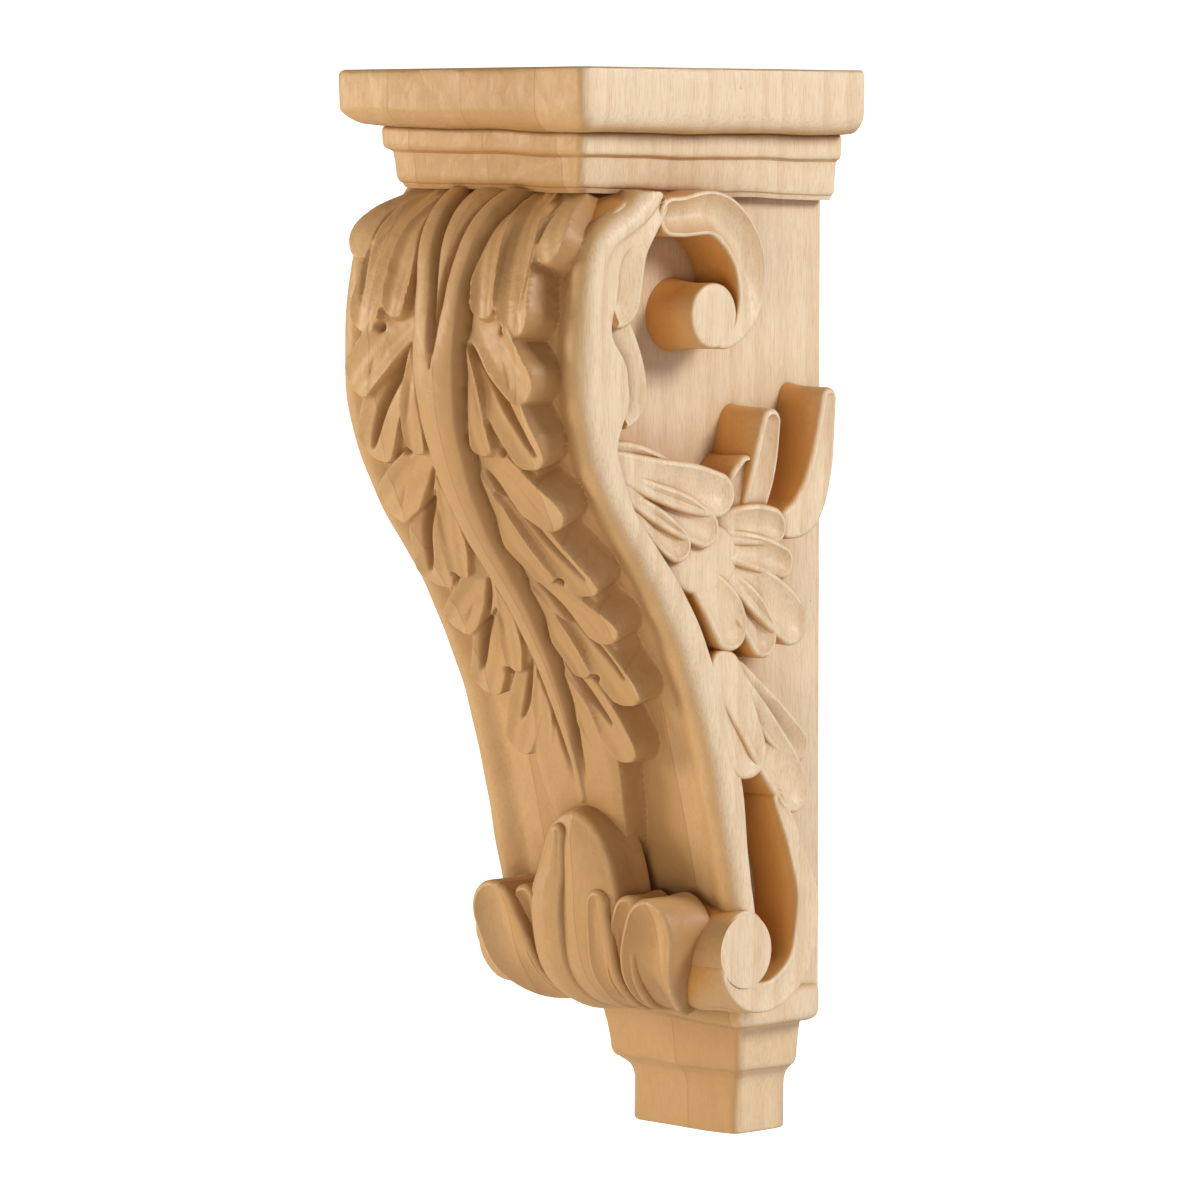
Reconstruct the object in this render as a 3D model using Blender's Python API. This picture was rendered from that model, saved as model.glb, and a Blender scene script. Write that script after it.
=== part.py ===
"""A carved wooden corbel, cut off flat where it meets the wall.

Lengths are in millimetres, and become metres where a mesh is made.  X runs across
the corbel, which is symmetric about X = 0; the back lies on the wall plane Y = 0 and
the front faces -Y.  Heights are measured from the foot, and the origin is put on
the back, MOUNT_HEIGHT above the foot.

Every carved element is a closed loft: loops of points, one after another, joined by
faces, with a flat cap on each end.  The elements overlap and are united.
"""

import bpy
import bmesh
import numpy as np

MM = 0.001

# Driving dimensions
HEIGHT = 356.0
CAP_HALF_WIDTH = 57.5
CAP_DEPTH = 132.0
MOUNT_HEIGHT = HEIGHT / 2

PANEL_HALF_WIDTH = 37.8       # the sunk side panels
FACE_HALF_WIDTH = 57.0        # the outer faces of the scrolls
RELIEF = FACE_HALF_WIDTH - PANEL_HALF_WIDTH
WALL_OVERCUT = 6.0            # every piece runs this far behind the wall plane first
EMBED = 3.5                   # how deep a carved element starts below its ground

# The front scroll in side view: where it starts, and its lean from the vertical in
# degrees at some distances along it
SCROLL_FOOT = (-60.0, 87.0)
SCROLL_STATIONS = (0.0, 50.0, 95.0, 125.0, 150.0, 190.0, 225.0, 245.0, 262.0)
SCROLL_LEANS = (13.0, 16.0, 31.0, 40.0, 27.0, 3.0, -16.0, -69.0, -35.0)
SCROLL_LENGTH = SCROLL_STATIONS[-1]

# The front plate behind that scroll: its thickness at some distances along it
PLATE_STATIONS = (0.0, 34.0, 93.0, 131.0, 160.0, 173.0, 190.0, 200.0, 218.0, 236.0, 262.0)
PLATE_THICKNESS = (8.0, 12.0, 11.0, 8.0, 12.0, 22.0, 21.0, 13.0, 17.0, 14.0, 12.0)
RIM_INNER = 43.0              # the raised rim starts here, and rolls over the edge
GROUND = -3.0                 # the front ground lies this far below the rim's crest

# The roll at the bottom of the front, and the scroll eyes, as (Y, Z, radius)
ROLL = (-56.0, 68.0, 12.7)
LOWER_EYE = (-55.0, 70.0, 11.0)
UPPER_EYE = (-71.5, 276.5, 10.5)

# The small leaf under the roll, in side view from the foot moulding up to its tip
HOOD_LINE = ((-36, 49), (-50, 49.5), (-62, 53), (-70, 63), (-72.5, 78), (-73.5, 95), (-77, 111))


def smooth_step(value):
    """0 below 0, 1 above 1, and an S-shaped rise between them."""
    value = np.clip(value, 0.0, 1.0)
    return value * value * (3.0 - 2.0 * value)


def curve_through(points, count):
    """Points evenly spaced along a Catmull-Rom curve through the given points."""
    points = np.asarray(points, float)
    before = 2 * points[0] - points[1]
    after = 2 * points[-1] - points[-2]
    knots = np.vstack([before, points, after])
    t = np.linspace(0.0, 1.0, 16, endpoint=False)[:, None]
    pieces = []
    for p0, p1, p2, p3 in zip(knots[:-3], knots[1:-2], knots[2:-1], knots[3:]):
        pieces.append(0.5 * (2 * p1 + (p2 - p0) * t + (2 * p0 - 5 * p1 + 4 * p2 - p3) * t**2
                             + (3 * p1 - p0 - 3 * p2 + p3) * t**3))
    dense = np.vstack(pieces + [points[-1:]])
    steps = np.linalg.norm(np.diff(dense, axis=0), axis=1)
    length = np.concatenate([[0.0], np.cumsum(steps)])
    wanted = np.linspace(0.0, length[-1], count)
    return np.stack([np.interp(wanted, length, dense[:, k]) for k in range(dense.shape[1])], axis=1)


def scroll_line():
    """The front scroll's (Y, Z) points, found by walking along it with its lean."""
    distance = np.linspace(0.0, SCROLL_LENGTH, 263)
    lean = np.radians(np.interp(distance, SCROLL_STATIONS, SCROLL_LEANS))
    step = distance[1]
    y = SCROLL_FOOT[0] - np.cumsum(np.sin(lean)) * step
    z = SCROLL_FOOT[1] + np.cumsum(np.cos(lean)) * step
    return distance, y, z, lean


SCROLL = scroll_line()
HOOD = curve_through(HOOD_LINE, 120)


def on_scroll(x, along, height):
    """A place on the front: across it, along the scroll, and proud of the rim's crest."""
    distance, y, z, lean = SCROLL
    lean = np.interp(along, distance, lean)
    below = np.minimum(along, 0.0)      # the leaf tip runs on below the scroll's start
    y = np.interp(along, distance, y) - np.cos(lean) * height - np.sin(lean) * below
    z = np.interp(along, distance, z) + np.cos(lean) * below - np.sin(lean) * height
    return np.stack(np.broadcast_arrays(x, y, z), axis=-1)


def on_hood(x, along, height):
    """A place on the small leaf: across it, along its line, and out from it."""
    steps = np.diff(HOOD, axis=0)
    lengths = np.linalg.norm(steps, axis=1)
    distance = np.concatenate([[0.0], np.cumsum(lengths)])
    turn = np.unwrap(np.arctan2(steps[:, 1], -steps[:, 0]))
    turn = np.interp(along, distance[1:], turn)
    y = np.interp(along, distance, HOOD[:, 0]) - np.sin(turn) * height
    z = np.interp(along, distance, HOOD[:, 1]) - np.cos(turn) * height
    return np.stack(np.broadcast_arrays(x, y, z), axis=-1)


def on_side(side):
    """Places on one side face: depth Y, height Z, and proud of the sunk panel."""
    def place(y, z, height):
        return np.stack(np.broadcast_arrays(side * (PANEL_HALF_WIDTH + height), y, z), axis=-1)
    return place


def loft(loops, name):
    """A closed mesh object from loops of points in millimetres, shape (rows, columns, 3)."""
    loops = np.asarray(loops, float)
    rows, columns, _ = loops.shape
    points = loops.reshape(-1, 3) * MM
    points[:, 2] -= MOUNT_HEIGHT * MM
    index = np.arange(rows * columns).reshape(rows, columns)
    around = np.roll(index, -1, axis=1)
    quads = np.stack([index[:-1], around[:-1], around[1:], index[1:]], axis=-1).reshape(-1, 4)
    faces = quads.tolist() + [index[0, ::-1].tolist(), index[-1].tolist()]
    mesh = bpy.data.meshes.new(name)
    mesh.from_pydata(points.tolist(), [], faces)
    shape = bmesh.new()
    shape.from_mesh(mesh)
    bmesh.ops.triangulate(shape, faces=shape.faces)
    bmesh.ops.recalc_face_normals(shape, faces=shape.faces)
    shape.to_mesh(mesh)
    shape.free()
    return bpy.data.objects.new(name, mesh)


def ribbon(name, place, line, half_widths, heights, hollow, rows=7, base=-EMBED):
    """A raised ribbon along a line, with rounded rims and a hollow between them.

    The half widths and heights are given at even distances along the line.  Across
    it, the section climbs steeply to a rim, dips by the hollow's depth, and comes down
    from the other rim the same way.
    """
    centre = curve_through(line, rows)
    ahead = np.gradient(centre, axis=0)
    ahead /= np.linalg.norm(ahead, axis=1)[:, None]
    across = np.stack([-ahead[:, 1], ahead[:, 0]], axis=1)
    at = np.linspace(0.0, 1.0, rows)
    width = np.interp(at, np.linspace(0.0, 1.0, len(half_widths)), half_widths)
    height = np.interp(at, np.linspace(0.0, 1.0, len(heights)), heights)
    dip = hollow * smooth_step(at / 0.4) * smooth_step((1.0 - at) / 0.25)
    rim = height - 0.3
    section = ((-1.0, np.full(rows, base)), (-0.86, rim), (0.0, height - dip), (0.86, rim), (1.0, np.full(rows, base)))
    loops = []
    for offset, level in section:
        spot = centre + across * (offset * width)[:, None]
        loops.append(place(spot[:, 0], spot[:, 1], level))
    return loft(np.stack(loops, axis=1), name)


def lobe(name, place, root, tip, half_width, height, bow=0.0, hollow=2.5, root_drop=3.0, rows=6,
         base=-EMBED):
    """One leaf lobe: a ribbon that swells from its root and ends in a rounded tip."""
    root, tip = np.asarray(root, float), np.asarray(tip, float)
    along = tip - root
    middle = (root + tip) / 2 + bow * np.array([-along[1], along[0]]) / np.linalg.norm(along)
    at = np.linspace(0.0, 1.0, rows)
    swell = 0.45 + 0.55 * smooth_step(at / 0.65)
    rounded = np.sqrt(np.clip(1.0 - ((at - 0.72) / 0.30).clip(0.0, 1.0) ** 2, 0.03, 1.0))
    heights = height - root_drop * (1.0 - smooth_step(at / 0.8))
    return ribbon(name, place, (root, middle, tip), half_width * swell * rounded, heights, hollow,
                  rows, base)


def framed_block(name, rows, corner=3.5, corner_steps=3, back_round=0.0):
    """A block that stands against the wall: rows of (height, half width, depth).

    Each row is a rectangle with rounded front corners that runs on behind the wall.
    """
    loops = []
    turns = np.linspace(0.0, np.pi / 2, corner_steps + 1)
    for z, half_width, depth in rows:
        x = half_width - corner + corner * np.cos(turns)
        y = -(depth - corner + corner * np.sin(turns))
        tail = half_width - back_round
        right = np.stack([np.append([tail, half_width], x), np.append([WALL_OVERCUT, -back_round - 2.0], y)], axis=1)
        left = right[::-1] * (-1.0, 1.0)
        outline = np.vstack([right, left])
        loops.append(np.column_stack([outline, np.full(len(outline), z)]))
    return loft(loops, name)


def turned(name, centre, radius, x_from, x_to, sides=16):
    """A cylinder across the corbel, slightly rounded at its ends."""
    y0, z0 = centre
    turn = np.linspace(0.0, 2 * np.pi, sides, endpoint=False)
    x_inner = x_to - 1.5 * np.sign(x_to - x_from)
    loops = []
    for x, r in ((x_from, radius), (x_inner, radius), (x_to, radius - 1.5)):
        loops.append(np.stack([np.full(sides, x), y0 + r * np.cos(turn), z0 + r * np.sin(turn)], axis=1))
    return loft(loops, name)


def cap():
    """The square slab under its shelf, with two stepped fillets below it."""
    rows = (
        (313.0, 42.6, 114.5), (315.0, 43.8, 116.0), (324.6, 44.5, 116.8),
        (325.0, 46.4, 119.6), (326.0, 47.2, 120.5), (333.6, 47.2, 120.5),
        (334.4, 51.0, 125.5), (336.0, 54.6, 129.1), (339.0, 56.7, 131.2),
        (342.5, CAP_HALF_WIDTH, CAP_DEPTH), (355.0, CAP_HALF_WIDTH, CAP_DEPTH),
        (HEIGHT, CAP_HALF_WIDTH - 1.0, CAP_DEPTH - 1.0),
    )
    return framed_block("cap", rows)


def foot():
    """Two coves stacked over a plain block, under a thin rounded fascia."""
    block_half_width, block_depth = 24.7, 25.3
    outsets = (
        (0.0, -1.0), (1.2, 0.0), (17.0, 0.3), (19.3, 1.4), (23.0, 3.8), (25.6, 5.3), (28.8, 6.1),
        (35.2, 7.0), (38.4, 8.3), (41.1, 10.6), (43.4, 14.4), (44.6, 15.6), (49.0, 16.0), (50.4, 14.5),
    )
    rows = [(z, block_half_width + out, block_depth + out) for z, out in outsets]
    return framed_block("foot", rows, corner=1.2, corner_steps=1, back_round=2.5)


def core():
    """The body between the sunk side panels, from the wall to the front plate."""
    distance, y, z, _ = SCROLL
    picks = np.arange(0, len(distance), 20)
    rows = [(z[k], y[k] + 7.0) for k in picks]
    rows = [(47.0, -41.0), (52.0, -56.0), (80.0, -54.0)] + rows
    loops = []
    for height, front in rows:
        w = PANEL_HALF_WIDTH
        loops.append([(w, WALL_OVERCUT, height), (w, front, height), (-w, front, height), (-w, WALL_OVERCUT, height)])
    return loft(loops, "core")


def front_plate():
    """The plate that the scroll is cut from, with a rim rolled over each long edge."""
    along = np.linspace(0.0, SCROLL_LENGTH, 24)
    thickness = np.interp(along, PLATE_STATIONS, PLATE_THICKNESS)
    half = ((FACE_HALF_WIDTH, None), (FACE_HALF_WIDTH, -7.0), (55.0, -2.4), (50.0, 0.0), (RIM_INNER, GROUND))
    section = half + tuple((-x, level) for x, level in half[::-1])
    columns = []
    for x, level in section:
        height = -thickness if level is None else np.full(len(along), level)
        columns.append(on_scroll(x, along, height))
    return loft(np.stack(columns, axis=1), "front_plate")


def front_leaf():
    """The big acanthus leaf that hangs down the scroll, in four tiers of lobes."""
    pieces = []
    tier_tops = (227.0, 181.0, 138.0, 91.0)
    widths = (48.0, 42.0, 42.0, 39.0)
    for tier, (top, wide) in enumerate(zip(tier_tops, widths)):
        lift = 33.0 if tier == 0 else 28.0
        lobes = (
            ((6.0, top + lift), (wide, top), 9.5, -4.0, 8.5),
            ((5.0, top + 16.0), (wide - 2.0, top - 27.0), 8.5, -4.0, 9.0),
            ((4.0, top + 10.0), (wide - 15.0, top - 24.0), 8.0, -2.0, 9.5),
            ((3.0, top + 5.0), (15.0, top - 20.0), 5.8, -1.0, 10.2),
        )
        for side in (1, -1):
            for number, (root, tip, half_width, bow, height) in enumerate(lobes):
                name = f"leaf_{tier}_{number}_{side}"
                root_at, tip_at = (root[0] * side, root[1]), (tip[0] * side, tip[1])
                pieces.append(lobe(name, on_scroll, root_at, tip_at, half_width, height, bow * side,
                                   hollow=2.2, root_drop=3.5, rows=5, base=GROUND - EMBED))
    for side in (1, -1):
        pieces.append(lobe(f"leaf_last_{side}", on_scroll, (2.0 * side, 80.0), (26.0 * side, 43.0),
                           8.5, 8.0, -2.0 * side, base=GROUND - EMBED))
    stem_line = ((0.0, 261.0), (0.0, 190.0), (0.0, 120.0), (0.0, 55.0))
    pieces.append(ribbon("leaf_stem", on_scroll, stem_line, (13.0, 9.0, 5.5, 5.0), (9.0, 12.0, 12.0, 9.0),
                         1.5, rows=9, base=GROUND - EMBED))
    tongue_line = ((0.0, 80.0), (0.0, 42.0), (0.0, 15.0), (0.0, -8.0))
    pieces.append(ribbon("leaf_tongue", on_scroll, tongue_line, (14.0, 19.0, 12.0, 1.5), (7.0, 8.0, 7.0, 4.0),
                         -1.0, rows=6, base=GROUND - EMBED))
    return pieces


def small_leaf():
    """The upturned leaf that wraps the bottom roll, with a hood and two lobes a side."""
    pieces = [ribbon("hood", on_hood, ((0, 0), (0, 30), (0, 62), (0, 84), (0, 97)), (7, 12, 17, 18, 13, 3),
                     (3, 3.5, 3, 1.5, 0), -3.0, rows=11, base=-9.0)]
    for side in (1, -1):
        pieces.append(lobe(f"flank_inner_{side}", on_hood, (6 * side, 2), (31 * side, 68), 11.0, 3.5, -4 * side,
                           base=-9.0, rows=8))
        pieces.append(lobe(f"flank_outer_{side}", on_hood, (10 * side, 2), (48 * side, 60), 11.0, 2.5, -7 * side,
                           base=-9.0, rows=8))
    return pieces


def side_scrolls(side):
    """The scrolls and leaves of one side: Y and Z on its face, in its outline's order."""
    place = on_side(side)
    pieces = [turned(f"roll_eye_{side}", LOWER_EYE[:2], LOWER_EYE[2], side * 30.0, side * FACE_HALF_WIDTH)]
    y, z, radius = UPPER_EYE
    pieces.append(turned(f"volute_eye_{side}", (y, z), radius, side * 30.0, side * FACE_HALF_WIDTH))
    volute = ((-93, 309), (-75, 310), (-60, 303.5), (-53.3, 290), (-57, 275), (-65, 266), (-76, 264))
    pieces.append(ribbon(f"volute_{side}", place, volute, (5.5, 6.4, 7.4, 7.6, 6.0, 3.5, 2.0), (RELIEF, RELIEF),
                         3.0, rows=12))
    c_scroll = ((-40, 118), (-29, 98), (-24.8, 78), (-31, 59), (-45, 52), (-57, 54.5), (-63, 62))
    pieces.append(ribbon(f"c_scroll_{side}", place, c_scroll, (2.5, 3.5, 4.6, 6.0, 4.5, 4.0, 3.5), (RELIEF, RELIEF),
                         0.4, rows=12))
    spur = ((-36, 205), (-22, 214), (-15.8, 234), (-14.5, 256))
    pieces.append(ribbon(f"spur_{side}", place, spur, (5.0, 6.5, 4.5, 3.0), (RELIEF - 2, RELIEF), 1.0, rows=8))
    lobes = (
        ("upright", (-49, 206), (-42, 250), 4.6, RELIEF, -1.0),
        ("vee", (-58, 206), (-52, 232), 5.0, 14.0, 0.0),
        ("fan_top", (-120, 231), (-84, 227), 6.5, RELIEF - 2, 0.0),
        ("fan_long", (-110, 226), (-54.5, 216.5), 6.4, RELIEF, 1.0),
        ("fan_low", (-112, 220), (-63, 203), 6.0, RELIEF, 1.5),
        ("fan_short", (-106, 216), (-80, 196), 4.6, RELIEF, 1.5),
        ("tuft_hub", (-92, 207), (-60, 192), 8.0, 15.5, 0.0),
        ("tuft_top", (-66, 204), (-29.5, 205.5), 5.6, RELIEF - 2, 0.5),
        ("tuft_second", (-70, 200), (-25, 191), 5.8, RELIEF - 1, 1.0),
        ("tuft_long", (-68, 196), (-18.5, 166.5), 7.2, RELIEF, 1.0),
        ("tuft_fourth", (-66, 192), (-42, 157), 6.2, RELIEF, 1.0),
        ("tuft_low", (-76, 193), (-57, 160), 6.6, RELIEF, 1.0),
        ("spray_inner", (-68, 158), (-48, 116), 8.0, RELIEF, 0.0),
        ("spray_long", (-66, 160), (-22, 105.5), 7.0, RELIEF, 0.0),
        ("spray_top", (-58, 160), (-18.5, 127), 6.0, RELIEF - 2, 2.0),
    )
    for name, root, tip, half_width, height, bow in lobes:
        pieces.append(lobe(f"{name}_{side}", place, root, tip, half_width, height, bow))
    return pieces


def wood():
    """Light lacquered hardwood."""
    material = bpy.data.materials.new("wood")
    material.use_nodes = True
    shader = material.node_tree.nodes["Principled BSDF"]
    shader.inputs["Base Color"].default_value = (0.72, 0.50, 0.29, 1.0)
    shader.inputs["Roughness"].default_value = 0.42
    shader.inputs["Metallic"].default_value = 0.0
    return material


def wall_side():
    """Everything behind the wall plane, which is cut away."""
    loops = []
    for z in (-20.0, HEIGHT + 20.0):
        loops.append([(-90.0, 0.0, z), (90.0, 0.0, z), (90.0, 40.0, z), (-90.0, 40.0, z)])
    return loft(loops, "wall_side")


def hidden(piece):
    """Marks a piece that only shapes the corbel."""
    piece.hide_render = True
    piece.display_type = "WIRE"
    return piece


def carve():
    """Unites every element into the one solid, and cuts it flush with the wall."""
    scene = bpy.context.scene.collection
    pieces = [core(), front_plate(), foot(), turned("roll", ROLL[:2], ROLL[2], -FACE_HALF_WIDTH, FACE_HALF_WIDTH)]
    pieces += front_leaf() + small_leaf() + side_scrolls(1) + side_scrolls(-1)
    elements = bpy.data.collections.new("elements")
    scene.children.link(elements)
    for piece in pieces:
        elements.objects.link(hidden(piece))
    wall = hidden(wall_side())
    scene.objects.link(wall)

    corbel = cap()
    corbel.name = "corbel"
    scene.objects.link(corbel)
    corbel.data.materials.append(wood())
    union = corbel.modifiers.new("elements", "BOOLEAN")
    union.operation = "UNION"
    union.operand_type = "COLLECTION"
    union.collection = elements
    union.solver = "EXACT"
    flush = corbel.modifiers.new("wall", "BOOLEAN")
    flush.operation = "DIFFERENCE"
    flush.object = wall
    flush.solver = "EXACT"
    return corbel


for old in list(bpy.data.objects):
    bpy.data.objects.remove(old, do_unlink=True)
carve()
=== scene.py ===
"""The looks of a carved hardwood corbel: one solid of swept and domed shapes, and its lacquered wood.

Shapes are worked out in millimetres in the corbel's own frame: X across it, Y = 0 on the wall with
the front at -Y, and heights from the foot.  They become metres where a mesh is made.
"""
import math

import bmesh
import bpy
import numpy as np
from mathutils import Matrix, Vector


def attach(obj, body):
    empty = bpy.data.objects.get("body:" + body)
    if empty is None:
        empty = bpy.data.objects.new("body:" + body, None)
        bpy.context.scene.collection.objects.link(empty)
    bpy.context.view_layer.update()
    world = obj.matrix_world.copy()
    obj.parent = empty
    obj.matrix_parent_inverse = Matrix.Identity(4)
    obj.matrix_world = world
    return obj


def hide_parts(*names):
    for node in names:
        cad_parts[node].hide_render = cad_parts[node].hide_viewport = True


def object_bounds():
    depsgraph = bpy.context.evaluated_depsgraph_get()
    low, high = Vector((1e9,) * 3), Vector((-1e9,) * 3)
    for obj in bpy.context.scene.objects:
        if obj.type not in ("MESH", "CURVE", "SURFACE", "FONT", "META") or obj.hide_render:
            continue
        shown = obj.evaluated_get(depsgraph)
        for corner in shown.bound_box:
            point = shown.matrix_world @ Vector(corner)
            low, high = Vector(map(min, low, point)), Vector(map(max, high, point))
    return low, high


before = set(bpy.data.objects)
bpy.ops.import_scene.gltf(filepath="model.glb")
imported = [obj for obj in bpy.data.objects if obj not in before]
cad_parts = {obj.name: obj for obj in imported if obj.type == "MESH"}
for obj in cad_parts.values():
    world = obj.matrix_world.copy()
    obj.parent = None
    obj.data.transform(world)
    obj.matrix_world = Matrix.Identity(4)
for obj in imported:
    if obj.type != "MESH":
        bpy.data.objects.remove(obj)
cad_low, cad_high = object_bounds()

MM = 0.001
LARGE_FLAT_FACE = 0.0001                       # 1 cm2: the back, the top and the panels
FOOT_LEVEL = cad_low.z / MM                    # the foot, seen from the origin on the wall
HEIGHT = (cad_high.z - cad_low.z) / MM
CAP_HALF_WIDTH = cad_high.x / MM
CAP_DEPTH = 132.0
PANEL_HALF_WIDTH = 37.8                        # the sunk side panels
FACE_HALF_WIDTH = CAP_HALF_WIDTH - 0.5         # the outer faces of the scrolls
RELIEF = FACE_HALF_WIDTH - PANEL_HALF_WIDTH
WALL_OVERCUT = 6.0                             # shapes run on behind the wall before it cuts them

# The front scroll in side view: its start, and its lean from the vertical in degrees along it
SCROLL_FOOT = (-60.0, 87.0)
SCROLL_STATIONS = (0.0, 50.0, 95.0, 125.0, 150.0, 190.0, 225.0, 245.0, 262.0)
SCROLL_LEANS = (13.0, 16.0, 31.0, 40.0, 27.0, 3.0, -16.0, -69.0, -35.0)
SCROLL_LENGTH = SCROLL_STATIONS[-1]
PLATE_STATIONS = (-9.0, 0.0, 34.0, 93.0, 131.0, 160.0, 173.0, 190.0, 201.0, 207.0, 218.0, 236.0, 250.0, 262.0)
PLATE_THICKNESS = (6.5, 7.0, 11.5, 11.0, 7.5, 11.0, 20.5, 20.5, 12.5, 15.5, 16.5, 15.0, 12.5, 8.0)
RIM_CREST, RIM_INNER, GROUND = 50.5, 42.5, -3.0
CAP_UNDERSIDE, CAP_TILT = 317.6, 0.019         # where the leaf meets the cap, and its rise to the left
CAP_REACH = 232.0                              # how far up the scroll the cap starts to cut the leaf
LEAF_WALL = 1.4                                # how wide the slope down from a blade is
FORK_START, TONGUE_START = 188.0, 190.0        # where the stem divides, and where its inner tongue begins
SHARP_ANGLE = 38.0                             # degrees between faces that stay a crisp edge
FEWEST_POINTS = 60                             # a loose piece with fewer points is a crumb

ROLL = (-56.0, 68.0, 12.7)                     # the bottom roll and the scroll eyes: Y, Z, radius
LOWER_EYE = (-55.5, 71.4, 10.0)
UPPER_EYE = (-71.5, 276.5, 10.6)
HOOD_LINE = ((-34, 48), (-48, 49), (-60, 52), (-69, 61), (-72.5, 76), (-73.0, 92), (-76.5, 111))


# ---------------------------------------------------------------- curves and places

def smooth_step(value):
    """0 below 0, 1 above 1, and 3v^2 - 2v^3 between."""
    value = np.clip(value, 0.0, 1.0)
    return value * value * (3.0 - 2.0 * value)


def spline(knots, at):
    """Values at fractions of the way along a Catmull-Rom spline through evenly spaced knots."""
    knots = np.asarray(knots, float)
    ends = (2 * knots[:1] - knots[1:2], 2 * knots[-1:] - knots[-2:-1])
    padded = np.concatenate([ends[0], knots, ends[1]])
    place = np.clip(at, 0.0, 1.0) * (len(knots) - 1)
    first = np.minimum(place.astype(int), len(knots) - 2)
    t = (place - first).reshape((-1,) + (1,) * (knots.ndim - 1))
    p0, p1, p2, p3 = (padded[first + k] for k in range(4))
    square, cube = 2 * p0 - 5 * p1 + 4 * p2 - p3, 3 * p1 - p0 - 3 * p2 + p3
    return 0.5 * (2 * p1 + (p2 - p0) * t + square * t**2 + cube * t**3)


def along_curve(points, at):
    """Points at fractions of the length of a spline through the given points, and its direction there."""
    dense = spline(points, np.linspace(0.0, 1.0, 400))
    length = np.concatenate([[0.0], np.cumsum(np.linalg.norm(np.diff(dense, axis=0), axis=1))])
    wanted = np.asarray(at) * length[-1]
    spots = np.stack([np.interp(wanted, length, dense[:, k]) for k in range(2)], axis=1)
    slope = np.gradient(dense, axis=0)
    ahead = np.stack([np.interp(wanted, length, slope[:, k]) for k in range(2)], axis=1)
    return spots, ahead / np.linalg.norm(ahead, axis=1)[:, None], length[-1]


def line_frame(y, z, distance):
    """A side-view line as arrays: distance along it, Y, Z, and the two parts of its outward normal."""
    dy, dz = np.gradient(y, distance), np.gradient(z, distance)
    size = np.hypot(dy, dz)
    return distance, y, z, -dz / size, dy / size


def scroll_frame():
    """Walks up the scroll: each step turns its lean into a move along -Y and +Z."""
    distance = np.linspace(0.0, SCROLL_LENGTH, 525)
    lean = np.radians(spline_between(distance, SCROLL_STATIONS, SCROLL_LEANS))
    step = distance[1]
    return line_frame(SCROLL_FOOT[0] - np.cumsum(np.sin(lean)) * step,
                      SCROLL_FOOT[1] + np.cumsum(np.cos(lean)) * step, distance)


def spline_between(at, stations, values):
    """Straight interpolation between stations, smoothed by a running mean 9 mm long."""
    fine = np.linspace(at[0] - 12.0, at[-1] + 12.0, 1200)
    rough = np.interp(fine, stations, values)
    window = max(3, int(9.0 / (fine[1] - fine[0])))
    padded = np.pad(rough, window, mode="edge")
    smooth = np.convolve(padded, np.ones(window) / window, mode="same")[window:-window]
    return np.interp(at, fine, smooth)


def hood_frame():
    """The small leaf's side-view line, evenly stepped."""
    at = np.linspace(0.0, 1.0, 300)
    spots, _, length = along_curve(HOOD_LINE, at)
    return line_frame(spots[:, 0], spots[:, 1], at * length)


SCROLL = scroll_frame()
HOOD = hood_frame()


def on_line(line):
    """Places on a surface that keeps one side-view line right across the corbel."""
    distance, y, z, out_y, out_z = line

    def place(x, along, height):
        ny, nz = np.interp(along, distance, out_y), np.interp(along, distance, out_z)
        past = along - np.clip(along, distance[0], distance[-1])
        py = np.interp(along, distance, y) + ny * height + nz * past
        pz = np.interp(along, distance, z) + nz * height - ny * past
        return np.stack(np.broadcast_arrays(x, py, pz), axis=-1)
    return place


on_scroll = on_line(SCROLL)
on_hood = on_line(HOOD)


def on_side(side):
    """Places on a side face: Y, Z, and how far out from the sunk panel."""
    def place(y, z, height):
        return np.stack(np.broadcast_arrays(side * (PANEL_HALF_WIDTH + height), y, z), axis=-1)
    return place


# ---------------------------------------------------------------- closed shells

def shell(loops, fold=False):
    """Points and faces of a closed shell from loops stacked in rows.

    Neighbouring loops are joined by quads.  The first and last are closed flat, or folded shut with
    quads between point i and its partner N - i, as for a loop that runs up one side and down the other.
    """
    rows, columns, _ = loops.shape
    index = np.arange(rows * columns).reshape(rows, columns)
    around = np.roll(index, -1, axis=1)
    faces = np.stack([index[:-1], around[:-1], around[1:], index[1:]], axis=-1).reshape(-1, 4).tolist()
    if not fold:
        return loops.reshape(-1, 3), faces + [index[0, ::-1].tolist(), index[-1].tolist()]
    half = columns // 2
    i = np.arange(1, half - 1)
    for loop, turn in ((index[0], -1), (index[-1], 1)):
        strip = np.stack([loop[i], loop[i + 1], loop[columns - i - 1], loop[columns - i]], axis=1)
        ends = [[loop[0], loop[1], loop[-1]], [loop[half - 1], loop[half], loop[half + 1]]]
        faces += [list(map(int, face))[::turn] for face in strip.tolist() + ends]
    return loops.reshape(-1, 3), faces


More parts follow.
